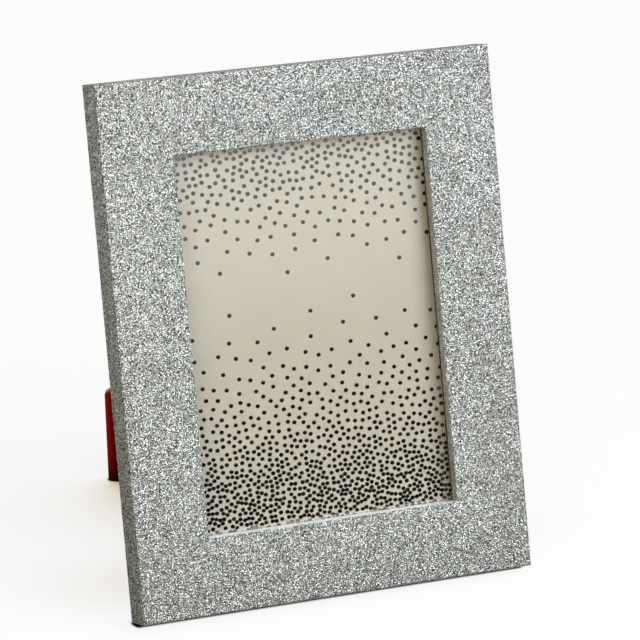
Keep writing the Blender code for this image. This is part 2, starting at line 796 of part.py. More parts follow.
def nail_mesh():
    """A round nail, with the underside of its head at Y 0."""
    profile = domed_head(NAIL_HEAD_R, NAIL_HEAD_H, 0.0)
    profile += [
        (NAIL_SHANK_R, 0.0),
        (NAIL_SHANK_R, NAIL_POINT - NAIL_LENGTH),
        (0.0, -NAIL_LENGTH),
    ]
    return turned_mesh(profile)


def build_hangers(parent, cores):
    """One hanger in the middle of the top rail, and one in the middle of the rail that is on top sideways."""
    strip_depth = CORE_BACK + GAP + HANGER_T / 2
    head_depth = CORE_BACK + GAP + HANGER_T + GAP
    strip = hanger_mesh()
    nail = nail_mesh()
    hole = mesh_from(rod_shape(NAIL_SHANK_R + GAP, -NAIL_LENGTH - GAP, 0))
    for way, side in (("upright", "top"), ("sideways", "right")):
        place, turn = on_side(side, 0, MOULDING_W / 2, strip_depth)
        new_part("hanger_" + way, strip, STEEL, parent, location=place, turn=(0, turn, 0))
        hole_places = []
        for end, x in (("first", -HANGER_NAIL_X), ("second", HANGER_NAIL_X)):
            nail_place, _ = on_side(side, x, MOULDING_W / 2, head_depth)
            new_part("hanger_nail_" + way + "_" + end, nail, BRASSED, parent, location=nail_place)
            hole_places.append(Matrix.Translation(nail_place))
        cut(cores[side], new_cutter("nail_holes_" + side, copies(hole, hole_places), parent))


# Standing on the table


def world_bounds():
    """The lowest and highest corners of all the pieces, in the world."""
    bpy.context.view_layer.update()
    graph = bpy.context.evaluated_depsgraph_get()
    points = []
    for part in PARTS.objects:
        if part.type == "MESH":
            shown = part.evaluated_get(graph)
            points += [part.matrix_world @ vert.co for vert in shown.data.vertices]
    low = Vector(min(point[axis] for point in points) for axis in range(3))
    high = Vector(max(point[axis] for point in points) for axis in range(3))
    return low, high


def stand_on_table(stand):
    """Leans the frame back and puts the middle of the floor area it covers at the origin."""
    stand.rotation_euler = (-LEAN, 0, 0)
    low, high = world_bounds()
    stand.location = (-(low.x + high.x) / 2, -(low.y + high.y) / 2, -low.z)
    bpy.context.view_layer.update()


def build():
    stand = new_empty("frame_stand")
    cores = build_moulding(stand)
    build_corner_nails(stand, cores)
    backboard = build_sheets(stand)
    build_turn_buttons(stand, cores)
    build_hangers(stand, cores)

    hinge_line = new_empty("hinge_line", stand, (HINGE_X, HINGE_DEPTH, HINGE_HEIGHT), (0, LEG_SLANT, 0))
    leg_hinge = new_empty("leg_hinge", hinge_line, turn=(LEG_OPEN, 0, 0))
    plate = build_hinge_plate(hinge_line)
    build_hinge_pin(hinge_line)
    leaf = build_hinge_leaf(leg_hinge)
    leg = build_leg(leg_hinge)

    half_sheet = HINGE_SHEET_T / 2
    plate_z = HINGE_PLATE_H - RIVET_FROM_END
    leaf_z = RIVET_FROM_END - HINGE_LEAF_H
    board_front = BOARD_FRONT - HINGE_DEPTH
    rivet_to_board("board_rivet", hinge_line, backboard, plate, plate_z, half_sheet - KNUCKLE_R, board_front)
    rivet_to_board("leg_rivet", leg_hinge, leg, leaf, leaf_z, half_sheet + KNUCKLE_R, LEG_FRONT)
    stand_on_table(stand)


clear_scene()
PARTS = new_collection("easel_picture_frame")
CUTTERS = new_collection("cutters")
GLITTER = new_material("silver glitter paper", (0.42, 0.43, 0.42), 0.35, 0.6)
MDF = new_material("raw MDF", (0.46, 0.33, 0.21), 0.85)
GLASS = new_material("picture glass", (0.85, 0.92, 0.9), 0.03)
CARD = new_material("champagne card", (0.58, 0.54, 0.46), 0.4)
GREYBOARD = new_material("grey filler board", (0.36, 0.34, 0.31), 0.9)
RED_BOARD = new_material("red faced hardboard", (0.19, 0.02, 0.012), 0.7)
STEEL = new_material("zinc plated steel", (0.55, 0.55, 0.56), 0.35, 1.0)
BRASSED = new_material("brassed steel", (0.6, 0.43, 0.2), 0.3, 1.0)
build()
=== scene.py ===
# %% [markdown]
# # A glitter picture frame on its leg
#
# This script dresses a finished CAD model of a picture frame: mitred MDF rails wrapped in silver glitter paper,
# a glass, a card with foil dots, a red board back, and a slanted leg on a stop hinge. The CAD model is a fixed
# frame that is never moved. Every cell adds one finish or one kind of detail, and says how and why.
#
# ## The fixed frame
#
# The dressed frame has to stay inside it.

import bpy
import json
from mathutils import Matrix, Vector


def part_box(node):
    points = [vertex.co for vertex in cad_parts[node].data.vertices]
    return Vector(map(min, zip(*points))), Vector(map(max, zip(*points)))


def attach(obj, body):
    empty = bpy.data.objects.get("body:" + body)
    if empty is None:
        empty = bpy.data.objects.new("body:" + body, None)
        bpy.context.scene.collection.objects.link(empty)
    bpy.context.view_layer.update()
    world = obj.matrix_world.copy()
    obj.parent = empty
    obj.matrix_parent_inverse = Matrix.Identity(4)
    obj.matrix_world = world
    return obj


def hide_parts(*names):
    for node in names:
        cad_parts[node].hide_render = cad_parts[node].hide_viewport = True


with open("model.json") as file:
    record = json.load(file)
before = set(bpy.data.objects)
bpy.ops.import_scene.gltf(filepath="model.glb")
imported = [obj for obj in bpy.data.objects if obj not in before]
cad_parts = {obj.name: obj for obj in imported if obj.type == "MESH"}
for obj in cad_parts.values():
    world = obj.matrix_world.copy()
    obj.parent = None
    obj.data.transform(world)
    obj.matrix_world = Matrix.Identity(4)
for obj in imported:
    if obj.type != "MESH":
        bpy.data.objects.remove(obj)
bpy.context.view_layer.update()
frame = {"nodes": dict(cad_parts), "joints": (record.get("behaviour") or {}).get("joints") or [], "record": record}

# %% Tools of the trade
import json
import math

import bmesh
import bpy
import numpy as np
from mathutils import Matrix, Vector

MM = 0.001


def add_object(name, data):
    """A new object in the scene, at the origin."""
    made = bpy.data.objects.new(name, data)
    bpy.context.scene.collection.objects.link(made)
    return made


def finished_mesh(shape, name):
    """The mesh of a bmesh that is done."""
    mesh = bpy.data.meshes.new(name)
    shape.to_mesh(mesh)
    shape.free()
    return mesh


def worked_mesh(thing):
    """The plain mesh that an object's modifiers give."""
    graph = bpy.context.evaluated_depsgraph_get()
    return bpy.data.meshes.new_from_object(thing.evaluated_get(graph))


# %% [markdown]
# ## Working flat
#
# A frame maker works with the frame lying flat: across, up the face, and in from the front. The finished frame
# leans back by 18 degrees on the back edge of its lower rail. One matrix carries everything that is made flat
# onto the leaning frame, and its inverse lays a place on the leaning frame flat again. A finished piece has this
# in its mesh, and its object stays at the origin.

# %% From the bench to the table
LEAN = math.radians(18)
FRONT_EDGE = Vector((0, -0.084786, 0.004944))
OUTER_W = 198.0 * MM
OUTER_H = 247.5 * MM
RAIL_W = 36.0 * MM
DEPTH = 16.0 * MM
LIP_DEPTH = 6.6 * MM
PAPER_T = 0.4 * MM
TURN_IN = 9.0 * MM
STANDING = Matrix.Translation(FRONT_EDGE) @ Matrix.Rotation(-LEAN, 4, "X")
LYING = STANDING.inverted()

glass_low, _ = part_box("glass_pane")
print("the glass lies", round((LYING @ glass_low).y / MM, 1), "mm behind the front face")


def ride_frame(piece):
    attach(piece, "frame")


# %% [markdown]
# ## Building node trees by hand
#
# Materials and Geometry Nodes are both trees of nodes. One short function adds a node, sets its options and
# feeds its inputs, either with a value or with another node's output. A few more stand for the nodes that come
# back in nearly every finish. They keep the trees below readable.


# %% One node at a time
def feed(tree, socket, value):
    """Gives an input its value, or a link where the value is another node's output."""
    if isinstance(value, bpy.types.NodeSocket):
        tree.links.new(value, socket)
    else:
        socket.default_value = value


def add(tree, kind, feeds=None, **options):
    made = tree.nodes.new(kind)
    for name, value in options.items():
        setattr(made, name, value)
    for key, value in (feeds or {}).items():
        feed(tree, made.inputs[key], value)
    return made


# %% Numbers
def calculate(tree, operation, first, second=0.0, clamp=False):
    feeds = {0: first, 1: second}
    return add(tree, "ShaderNodeMath", feeds, operation=operation, use_clamp=clamp).outputs[0]


def remap(tree, value, start, end, low=0.0, high=1.0, interpolation="LINEAR"):
    """Low up to where the value is start, high from where it is end, and between them in between."""
    feeds = {"Value": value, "From Min": start, "From Max": end, "To Min": low, "To Max": high}
    return add(tree, "ShaderNodeMapRange", feeds, interpolation_type=interpolation).outputs[0]


def share_along(tree, vector, direction):
    """How far a vector goes along a direction: their dot product."""
    feeds = {0: vector, 1: direction}
    return add(tree, "ShaderNodeVectorMath", feeds, operation="DOT_PRODUCT").outputs["Value"]


def split(tree, vector):
    return add(tree, "ShaderNodeSeparateXYZ", {"Vector": vector}).outputs


# %% Colours
def grey(level):
    return (level, level, level)


def blend_colours(tree, share, first, second, kind="MIX"):
    feeds = {"Factor": share, "A": first, "B": second}
    node = tree.nodes.new("ShaderNodeMix")
    node.data_type = "RGBA"
    node.blend_type = kind
    for socket in node.inputs:
        if socket.enabled and socket.name in feeds:
            feed(tree, socket, feeds[socket.name])
    return next(socket for socket in node.outputs if socket.enabled)


def ramp(tree, value, stops):
    """A colour for each step of a value. Stops are (position, colour) pairs."""
    node = add(tree, "ShaderNodeValToRGB", {"Fac": value})
    elements = node.color_ramp.elements
    while len(elements) < len(stops):
        elements.new(0.5)
    for element, (position, colour) in zip(elements, stops):
        element.position = position
        element.color = (*colour, 1.0)
    return node.outputs["Color"]


# %% Patterns and shade
def object_place(tree):
    return tree.nodes.new("ShaderNodeTexCoord").outputs["Object"]


def noise(tree, place, scale, detail, **feeds):
    """Cloudy noise. A cloud is about one metre over its scale in size."""
    feeds.update({"Vector": place, "Scale": scale, "Detail": detail})
    return add(tree, "ShaderNodeTexNoise", feeds).outputs[0]


def openness(tree, reach, samples):
    """1 in the open, and less the more stands within reach. This is ambient occlusion."""
    return add(tree, "ShaderNodeAmbientOcclusion", {"Distance": reach}, samples=samples).outputs["AO"]


# %% Finishes
def new_finish(name, **settings):
    """A material with its Principled shader, whose plain settings are given by socket name."""
    finish = bpy.data.materials.new(name)
    finish.use_nodes = True
    tree = finish.node_tree
    shader = tree.nodes["Principled BSDF"]
    for key, value in settings.items():
        shader.inputs[key.replace("_", " ")].default_value = value
    return finish, tree, shader


def raise_grain(tree, shader, height, strength, distance):
    bump = add(tree, "ShaderNodeBump", {"Height": height, "Strength": strength, "Distance": distance})
    tree.links.new(bump.outputs[0], shader.inputs["Normal"])


def mix_surfaces(tree, share, first, second):
    mixed = add(tree, "ShaderNodeMixShader", {0: share, 1: first, 2: second}).outputs[0]
    tree.links.new(mixed, tree.nodes["Material Output"].inputs["Surface"])


def dress(node, finish):
    """Gives a CAD piece its finish, in each of its slots."""
    for slot in frame["nodes"][node].material_slots:
        slot.material = finish


# %% [markdown]
# ## Groups that several finishes share
#
# Node groups are small machines with named inputs and outputs. The first one cuts space into tiny cells, each
# with its own shade and its own tilt, as the flakes of glitter have. The second gives a flake its colour. The
# third lays short fibres, for MDF and board. The fourth gives the cloudy bloom and fine scratches of plated steel.


# %% Start a group
def new_group(name, inputs, outputs):
    """A shader node group. Inputs are (name, kind, value), outputs are (name, kind)."""
    group = bpy.data.node_groups.new(name, "ShaderNodeTree")
    for label, kind, value in inputs:
        socket = group.interface.new_socket(label, in_out="INPUT", socket_type="NodeSocket" + kind)
        if value is not None:
            socket.default_value = value
    for label, kind in outputs:
        group.interface.new_socket(label, in_out="OUTPUT", socket_type="NodeSocket" + kind)
    source = group.nodes.new("NodeGroupInput")
    result = group.nodes.new("NodeGroupOutput")
    return group, source.outputs, result.inputs


def use_group(tree, group, **feeds):
    node = tree.nodes.new("ShaderNodeGroup")
    node.node_tree = group
    for key, value in feeds.items():
        feed(tree, node.inputs[key.replace("_", " ")], value)
    return node.outputs


# %% Flake cells
# A cell's first random number is stretched and cut, so that its shade has nothing to do with its lean.
SHUFFLE = 7.31

flake_cells, given, gives = new_group(
    "flake cells",
    [("Place", "Vector", None), ("Flake Size", "Float", 0.0006), ("Tilt", "Float", 0.4)],
    [("Shade", "Float"), ("Tint", "Float"), ("Normal", "Vector")],
)
count = calculate(flake_cells, "DIVIDE", 1.0, given["Flake Size"])
cells = add(flake_cells, "ShaderNodeTexVoronoi", {"Vector": given["Place"], "Scale": count}).outputs["Color"]
parts = add(flake_cells, "ShaderNodeSeparateColor", {"Color": cells}).outputs
centred = add(
    flake_cells, "ShaderNodeVectorMath", {0: cells, 1: (0.5, 0.5, 0.5)}, operation="SUBTRACT"
).outputs[0]
leaned = add(
    flake_cells,
    "ShaderNodeVectorMath",
    {0: centred, "Scale": calculate(flake_cells, "MULTIPLY", given["Tilt"], 2.0)},
    operation="SCALE",
).outputs[0]
surface = flake_cells.nodes.new("ShaderNodeNewGeometry").outputs["Normal"]
added = add(flake_cells, "ShaderNodeVectorMath", {0: surface, 1: leaned}, operation="ADD").outputs[0]
facing = add(flake_cells, "ShaderNodeVectorMath", {0: added}, operation="NORMALIZE").outputs[0]
shuffled = calculate(flake_cells, "FRACT", calculate(flake_cells, "MULTIPLY", parts[0], SHUFFLE))
flake_cells.links.new(shuffled, gives["Shade"])
flake_cells.links.new(parts[1], gives["Tint"])
flake_cells.links.new(facing, gives["Normal"])

# %% Flake colour
# A flake's shade decides between dark, middle and bright silver. Its tint turns it a little teal or pink.
flake_colour, given, gives = new_group(
    "flake colour",
    [("Shade", "Float", 0.5), ("Tint", "Float", 0.5)],
    [("Color", "Color")],
)
silver = ramp(
    flake_colour,
    given["Shade"],
    [(0.0, grey(0.01)), (0.4, grey(0.05)), (0.60, grey(0.22)), (0.67, grey(0.80)), (1.0, grey(0.98))],
)
hue = ramp(
    flake_colour,
    given["Tint"],
    [(0.0, (0.90, 1.0, 0.97)), (0.25, (0.96, 1.0, 0.95)), (0.7, (0.99, 1.0, 0.92)), (1.0, (1.0, 0.96, 0.92))],
)
flake_colour.links.new(blend_colours(flake_colour, 1.0, silver, hue, "MULTIPLY"), gives["Color"])

# %% Board fibres
CLOUD_SHARE = 0.12

board_fibres, given, gives = new_group(
    "board fibres",
    [("Place", "Vector", None), ("Fibre Length", "Float", 0.003), ("Fibre Stretch", "Float", 5.0)],
    [("Fibre", "Float"), ("Cloud", "Float")],
)
scale = calculate(board_fibres, "DIVIDE", 1.0, given["Fibre Length"])
squeezed = add(
    board_fibres,
    "ShaderNodeCombineXYZ",
    {"X": 1.0, "Y": given["Fibre Stretch"], "Z": given["Fibre Stretch"]},
).outputs[0]
stretched = add(
    board_fibres, "ShaderNodeVectorMath", {0: given["Place"], 1: squeezed}, operation="MULTIPLY"
).outputs[0]
fine = noise(board_fibres, stretched, scale, 5.0, Roughness=0.7, Distortion=1.2)
broad = noise(board_fibres, given["Place"], calculate(board_fibres, "MULTIPLY", scale, CLOUD_SHARE), 3.0)
board_fibres.links.new(fine, gives["Fibre"])
board_fibres.links.new(broad, gives["Cloud"])

# %% Plated metal
DRAWN_OUT = (1.0, 0.08, 0.6)

plating, given, gives = new_group(
    "plating",
    [("Place", "Vector", None), ("Bloom Size", "Float", 0.004), ("Scratch Size", "Float", 0.0006)],
    [("Bloom", "Float"), ("Scratches", "Float")],
)
bloom = noise(plating, given["Place"], calculate(plating, "DIVIDE", 1.0, given["Bloom Size"]), 4.0)
drawn = add(plating, "ShaderNodeVectorMath", {0: given["Place"], 1: DRAWN_OUT}, operation="MULTIPLY").outputs[0]
scratches = noise(plating, drawn, calculate(plating, "DIVIDE", 1.0, given["Scratch Size"]), 3.0)
plating.links.new(bloom, gives["Bloom"])
plating.links.new(scratches, gives["Scratches"])
print("shared groups:", [group.name for group in bpy.data.node_groups])

# %% [markdown]
# ## Camera
#
# The picture is taken from the frame's left with a long lens, slightly turned. The place and the aim come from a
# fit of the frame's own edges, so the frame fills the picture as it should.

# %% Camera
CAMERA_PLACE = Vector((-0.807702, -1.764240, 0.893384))
CAMERA_AIM = Vector((0.001368, -0.044881, 0.127376))
CAMERA_LENS = 249.85
CAMERA_ROLL = math.radians(2.563)

camera = add_object("camera", bpy.data.cameras.new("camera"))
bpy.context.scene.camera = camera
camera.data.sensor_width = 36.0
camera.data.lens = CAMERA_LENS
camera.data.clip_start = 0.05
camera.data.clip_end = 50.0
turned = (CAMERA_PLACE - CAMERA_AIM).to_track_quat("Z", "Y").to_matrix().to_4x4()
camera.matrix_world = Matrix.Translation(CAMERA_PLACE) @ turned @ Matrix.Rotation(CAMERA_ROLL, 4, "Z")
print("the camera stands", round((CAMERA_PLACE - CAMERA_AIM).length, 3), "m away")

# %% [markdown]
# ## Studio
#
# A wide white table top, a big soft lamp high in front on the right, a low warm one in front on the left, and a
# pale room with a bright backdrop. The room is darker in front and low down, where the photographer stands: glass
# and foil need something dark to mirror, or they look milky. The table glows white for the eye. Two soft masks,
# made by ambient occlusion, paint shade into that glow: a thin black contact shadow along the frame's foot and a
# faint warm shade behind the frame. The table's bounce colour is also painted darker near the frame.

# %% Floor: what the eye sees
CONTACT_REACH = 2.6 * MM
SHADE_REACH = 80.0 * MM
WARM_SHADE = (0.50, 0.33, 0.08, 1)


def table_glow(tree, place, around):
    """White, with a painted black contact shadow along the contact line and a painted warm shade behind the frame.
    Also the open part of the floor.
    """
    open_floor = remap(tree, openness(tree, CONTACT_REACH, 16), 0.60, 0.86)
    behind = remap(tree, split(tree, place)["Y"], -0.060, -0.020)
    close = remap(tree, around, 1.0, 0.30)
    shaded = calculate(tree, "MULTIPLY", calculate(tree, "POWER", close, 1.6), behind)
    warm = blend_colours(tree, shaded, (1.0, 1.0, 1.0, 1), WARM_SHADE)
    return blend_colours(tree, open_floor, (0, 0, 0, 1), warm), open_floor


# %% Floor
FLOOR_RADIUS = 25.0
SEEN_WHITE = 0.87
MIRRORED_WHITE = 0.34


def white_table():
    """White for the eye, and a darker share of that for the light it throws back on the frame."""
    finish, tree, shader = new_finish("white table", Roughness=0.8, Specular_IOR_Level=0.1)
    place = object_place(tree)
    path = tree.nodes.new("ShaderNodeLightPath").outputs
    mirrored = calculate(tree, "MAXIMUM", path["Is Glossy Ray"], path["Is Transmission Ray"])
    mirrored = calculate(tree, "MULTIPLY", mirrored, MIRRORED_WHITE)
    seen = calculate(tree, "MAXIMUM", path["Is Camera Ray"], mirrored)
    white = ramp(tree, noise(tree, place, 40.0, 4.0), [(0.3, (0.96, 0.94, 0.90)), (0.7, (0.98, 0.96, 0.92))])
    # Painted shade: near the frame the floor's bounce colour gets darker by ambient occlusion, so less light comes
    # back onto the frame.
    around = openness(tree, SHADE_REACH, 6)
    bounced = ramp(tree, around, [(0.66, grey(0.02)), (1.0, (0.27, 0.255, 0.215))])
    tree.links.new(blend_colours(tree, seen, bounced, white), shader.inputs["Base Color"])
    glow, open_floor = table_glow(tree, place, around)
    lit = add(tree, "ShaderNodeEmission", {"Color": glow}).outputs[0]
    in_shade = calculate(tree, "SUBTRACT", 1.0, open_floor)
    share = calculate(tree, "MULTIPLY", seen, calculate(tree, "MAXIMUM", in_shade, SEEN_WHITE))
    mix_surfaces(tree, share, shader.outputs[0], lit)
    return finish


rim = bmesh.new()
bmesh.ops.create_circle(rim, cap_ends=True, segments=96, radius=FLOOR_RADIUS)
floor = add_object("floor", finished_mesh(rim, "floor"))
floor.data.materials.append(white_table())
print("the table top is", 2 * FLOOR_RADIUS, "m across")


# %% Lamps
def softbox(name, azimuth, elevation, distance, width, height, brightness, aim, colour):
    """A square lamp that faces the aim. Its brightness is that of its surface, where 1 is white."""
    lamp = bpy.data.lights.new(name, "AREA")
    lamp.shape = "RECTANGLE"
    lamp.size = width
    lamp.size_y = height
    lamp.energy = brightness * width * height * math.pi
    lamp.color = colour
    azimuth = math.radians(azimuth)
    elevation = math.radians(elevation)
    level_out = math.cos(elevation)
    away = Vector((math.sin(azimuth) * level_out, -math.cos(azimuth) * level_out, math.sin(elevation)))
    facing = away.to_track_quat("Z", "Y").to_matrix().to_4x4()
    add_object(name, lamp).matrix_world = Matrix.Translation(aim + away * distance) @ facing


FACE_MIDDLE = STANDING @ Vector((0, 0, OUTER_H / 2))
softbox("key softbox", 36, 33, 2.2, 1.65, 1.31, 4.9, FACE_MIDDLE, (0.93, 0.98, 1.04))
softbox("warm fill", -50, 16, 4.0, 2.4, 1.6, 4.6, FACE_MIDDLE, (1.04, 0.98, 0.78))
print("lamps:", [lamp.name for lamp in bpy.data.lights])

# %% Room: a window
# It is bright from the front right, above the height where the card's reflection in the glass ends.
WINDOW_AZIMUTH = math.radians(40)
WINDOW_SILL = math.radians(10.4)
WINDOW_CLEAR = math.radians(12.4)

room = bpy.data.worlds.new("room")
bpy.context.scene.world = room
room.use_nodes = True
tree = room.node_tree
direction = tree.nodes.new("ShaderNodeTexCoord").outputs["Generated"]
axis = split(tree, direction)
towards = share_along(tree, direction, (math.sin(WINDOW_AZIMUTH), -math.cos(WINDOW_AZIMUTH), 0))
bright_side = remap(tree, towards, 0.1, 0.6, interpolation="SMOOTHSTEP")
bright_height = remap(tree, axis["Z"], math.sin(WINDOW_SILL), math.sin(WINDOW_CLEAR), interpolation="SMOOTHSTEP")
window = calculate(tree, "MULTIPLY", bright_side, bright_height)

# %% Room: dim walls
# They get lighter upwards, and are dark in front and low down.
front = remap(tree, axis["Y"], 0.3, -0.5)
low_down = remap(tree, axis["Z"], 0.40, 0.20)
dark = calculate(tree, "MULTIPLY", front, low_down)
wall = remap(tree, axis["Z"], 0.0, 1.0, 0.16, 0.40)
dim = calculate(tree, "MULTIPLY", wall, calculate(tree, "SUBTRACT", 1.0, dark))
walls = blend_colours(tree, dim, (0, 0, 0, 1), (1.0, 0.93, 0.83, 1))

# %% Room: a backdrop
# It stands low behind the frame. In a mirror it is white, and it throws less soft light than that.
HELD_BACK = 0.6

behind = remap(tree, axis["Y"], 0.15, 0.4)
low_band = remap(tree, axis["Z"], 0.6, 0.35)
backdrop = calculate(tree, "MULTIPLY", behind, low_band)
diffuse = tree.nodes.new("ShaderNodeLightPath").outputs["Is Diffuse Ray"]
let_through = calculate(tree, "SUBTRACT", 1.0, calculate(tree, "MULTIPLY", diffuse, HELD_BACK))
backdrop = calculate(tree, "MULTIPLY", backdrop, let_through)
lightest = calculate(tree, "MAXIMUM", window, backdrop)
light = blend_colours(tree, lightest, walls, (1.0, 1.0, 1.0, 1))
tree.links.new(light, tree.nodes["Background"].inputs["Color"])
tree.nodes["Background"].inputs["Strength"].default_value = 1.0
bpy.context.scene.view_settings.view_transform = "Standard"
print("the room has", len(tree.nodes), "nodes")

# %% [markdown]
# ## The glitter skin
#
# On the real frame the paper is pulled round each rail, and under the glitter no seam shows at the corners. One
# closed shell gives that: a profile of the paper, swept round the opening with mitred corners. Sweeping by hand
# keeps each ring of four corner points exact. Each face remembers its zone, so that flakes can be scattered by zone.

# %% Rounded profile
BACK_ROUND = 0.8 * MM
FRONT_ROUND = 1.0 * MM
LIP_ROUND = 0.8 * MM
ARC_STEPS = 4


def arc_corner(before, here, after, radius):
    """The points of a rounded corner."""
    here = Vector(here)
    back = (Vector(before) - here).normalized()
    ahead = (Vector(after) - here).normalized()
    centre = here + (back + ahead) * radius
    start = (back * radius - (back + ahead) * radius).normalized()
    end = (ahead * radius - (back + ahead) * radius).normalized()
    return [centre + start.slerp(end, step / ARC_STEPS) * radius for step in range(ARC_STEPS + 1)]


def paper_profile(inset):
    """(distance in from the outer edge, depth) points of one face of the paper, from the back round to the lip."""
    places = (
        (TURN_IN, DEPTH - inset),
        (inset, DEPTH - inset),
        (inset, inset),
        (RAIL_W - inset, inset),
        (RAIL_W - inset, LIP_DEPTH),
    )
    points = [Vector(places[0])]
    for i, rounding in enumerate((BACK_ROUND, FRONT_ROUND, LIP_ROUND), start=1):
        points += arc_corner(places[i - 1], places[i], places[i + 1], rounding - inset)
    return points + [Vector(places[-1])]


# %% Sweep the paper round the frame
# The lower rail's inner wall is left out of the rails' zones, because no loose flakes lie on it.
RAILS = ("bottom", "right", "top", "left")
HIDDEN = 4
FLAKE_ROOM = 0.19 * MM


def swept_skin(name):
    outer = paper_profile(FLAKE_ROOM)
    inner = paper_profile(PAPER_T)
    profile = outer + inner[::-1]
    shell = bmesh.new()
    rail_layer = shell.faces.layers.int.new("rail")
    rings = []
    for x_side, z_side in ((-1, -1), (1, -1), (1, 1), (-1, 1)):
        ring = []
        for inward, depth in profile:
            x = x_side * (OUTER_W / 2 - inward)
            z = OUTER_H / 2 + z_side * (OUTER_H / 2 - inward)
            ring.append(shell.verts.new(STANDING @ Vector((x, depth, z))))
        rings.append(ring)
    for side in range(len(RAILS)):
        here = rings[side]
        following = rings[(side + 1) % len(RAILS)]
        for i in range(len(profile)):
            j = (i + 1) % len(profile)
            face = shell.faces.new((here[i], here[j], following[j], following[i]))
            is_sill = RAILS[side] == "bottom" and i == len(outer) - 2
            face[rail_layer] = side if i < len(outer) - 1 and not is_sill else HIDDEN
            is_cut_edge = i in (len(outer) - 1, len(profile) - 1)
            face.material_index = 1 if is_cut_edge else 0
            face.smooth = not is_cut_edge
    bmesh.ops.recalc_face_normals(shell, faces=shell.faces)
    mesh = finished_mesh(shell, name)
    mesh.set_sharp_from_angle(angle=math.radians(40))
    return add_object(name, mesh)


skin = swept_skin("glitter_skin")
print("the glitter skin has", len(skin.data.polygons), "faces in one closed shell")

# %% [markdown]
# ## Glitter
#
# Glitter paper is a printed silver ground full of tiny cut flakes, each a mirror that leans its own way. Two
# layers make it. The ground is a material whose cells each have a shade and a tilt. On it lie loose six-sided
# flakes as real geometry, scattered by Geometry Nodes with a fixed seed, which catch the light like the real ones.

# %% The faces that differ
# On the lower rail the film is stretched smooth over the inner wall and painted near white, a painted highlight,
# so it shines like a sill. The right inner wall gets a little of the same smoothing and painted highlight. On the
# right a thin black band is painted next to the glass, a painted shade.
MIDDLE_HEIGHT = 0.1
GAP_SHADE_W = 1.5 * MM


def wall_masks(tree):
    """Masks for the sill, the painted black shade at the glass on the right, the outer left side, the top and the
    right inner wall.
    """
    coordinates = tree.nodes.new("ShaderNodeTexCoord").outputs
    up = share_along(tree, coordinates["Normal"], LYING[2][:3])
    across = share_along(tree, coordinates["Normal"], LYING[0][:3])
    depth = calculate(tree, "ADD", share_along(tree, coordinates["Object"], LYING[1][:3]), LYING[1][3])
    axis = split(tree, coordinates["Object"])
    faces_up = remap(tree, up, 0.45, 0.75)
    faces_left = calculate(tree, "LESS_THAN", across, -0.8)
    on_sill = calculate(tree, "MULTIPLY", faces_up, calculate(tree, "LESS_THAN", axis["Z"], MIDDLE_HEIGHT))
    on_top = calculate(tree, "MULTIPLY", faces_up, calculate(tree, "GREATER_THAN", axis["Z"], MIDDLE_HEIGHT))
    on_side = calculate(tree, "MULTIPLY", faces_left, calculate(tree, "LESS_THAN", axis["X"], 0.0))
    on_right = calculate(tree, "MULTIPLY", faces_left, calculate(tree, "GREATER_THAN", axis["X"], 0.0))
    deep = calculate(tree, "GREATER_THAN", depth, LIP_DEPTH - GAP_SHADE_W)
    return on_sill, calculate(tree, "MULTIPLY", on_right, deep), on_side, on_top, on_right


# %% How a flake mirrors
def flake_mirror(tree, shader, shade, most):
    """Bright flakes mirror like metal, dark ones hardly."""
    tree.links.new(remap(tree, shade, 0.55, 0.70, 0.1, most), shader.inputs["Metallic"])


# %% Glitter ground
TOP_SMOOTH = 0.5
RIGHT_SMOOTH_AND_HIGHLIGHT = 0.14
GROUND_TILT, SMOOTH_TILT = 0.42, 0.08
GROUND_CELL, SIDE_CELL = 0.25 * MM, 0.48 * MM
SIDE_SHADE_TINT = (0.73, 0.73, 0.64, 1)
PAINTED_HIGHLIGHT_WHITE = (0.96, 0.98, 0.96, 1)
TOP_FILM = (0.45, 0.46, 0.45, 1)
GAP_SHADE_BLACK = (0.004, 0.004, 0.004, 1)


def glitter_ground():
    finish, tree, shader = new_finish("glitter ground", Roughness=0.28, Specular_IOR_Level=0.2)
    place = object_place(tree)
    on_sill, gap_shade_mask, on_side, on_top, on_right = wall_masks(tree)
    top_smooth = calculate(tree, "MULTIPLY", on_top, TOP_SMOOTH)
    part_smooth_and_highlight = calculate(tree, "MAXIMUM", top_smooth, calculate(tree, "MULTIPLY", on_right, RIGHT_SMOOTH_AND_HIGHLIGHT))
    smooth = calculate(tree, "MAXIMUM", on_sill, part_smooth_and_highlight)
    tilt = remap(tree, smooth, 0.0, 1.0, GROUND_TILT, SMOOTH_TILT)
    cell = remap(tree, on_side, 0.0, 1.0, GROUND_CELL, SIDE_CELL)
    small = use_group(tree, flake_cells, Place=place, Flake_Size=cell, Tilt=tilt)
    colour = use_group(tree, flake_colour, Shade=small["Shade"], Tint=small["Tint"])["Color"]
    cloudy = ramp(tree, noise(tree, place, 130.0, 3.0), [(0.3, grey(0.82)), (0.7, grey(1.0))])
    colour = blend_colours(tree, 1.0, colour, cloudy, "MULTIPLY")
    # Painted shade: the outer left side gets darker and warmer towards the foot.
    side_shaded = blend_colours(tree, 1.0, colour, SIDE_SHADE_TINT, "MULTIPLY")
    low_down = remap(tree, split(tree, place)["Z"], 0.22, 0.05)
    colour = blend_colours(tree, calculate(tree, "MULTIPLY", on_side, low_down), colour, side_shaded)
    # Painted highlight: the sill and, a little, the right inner wall are painted near white; the top takes a smoother
    # grey film.
    colour = blend_colours(tree, smooth, colour, blend_colours(tree, on_top, PAINTED_HIGHLIGHT_WHITE, TOP_FILM))
    # Painted shade: a black band on the right inner wall next to the glass.
    colour = blend_colours(tree, gap_shade_mask, colour, GAP_SHADE_BLACK)
    tree.links.new(colour, shader.inputs["Base Color"])
    tree.links.new(small["Normal"], shader.inputs["Normal"])
    flake_mirror(tree, shader, small["Shade"], 0.8)
    return finish


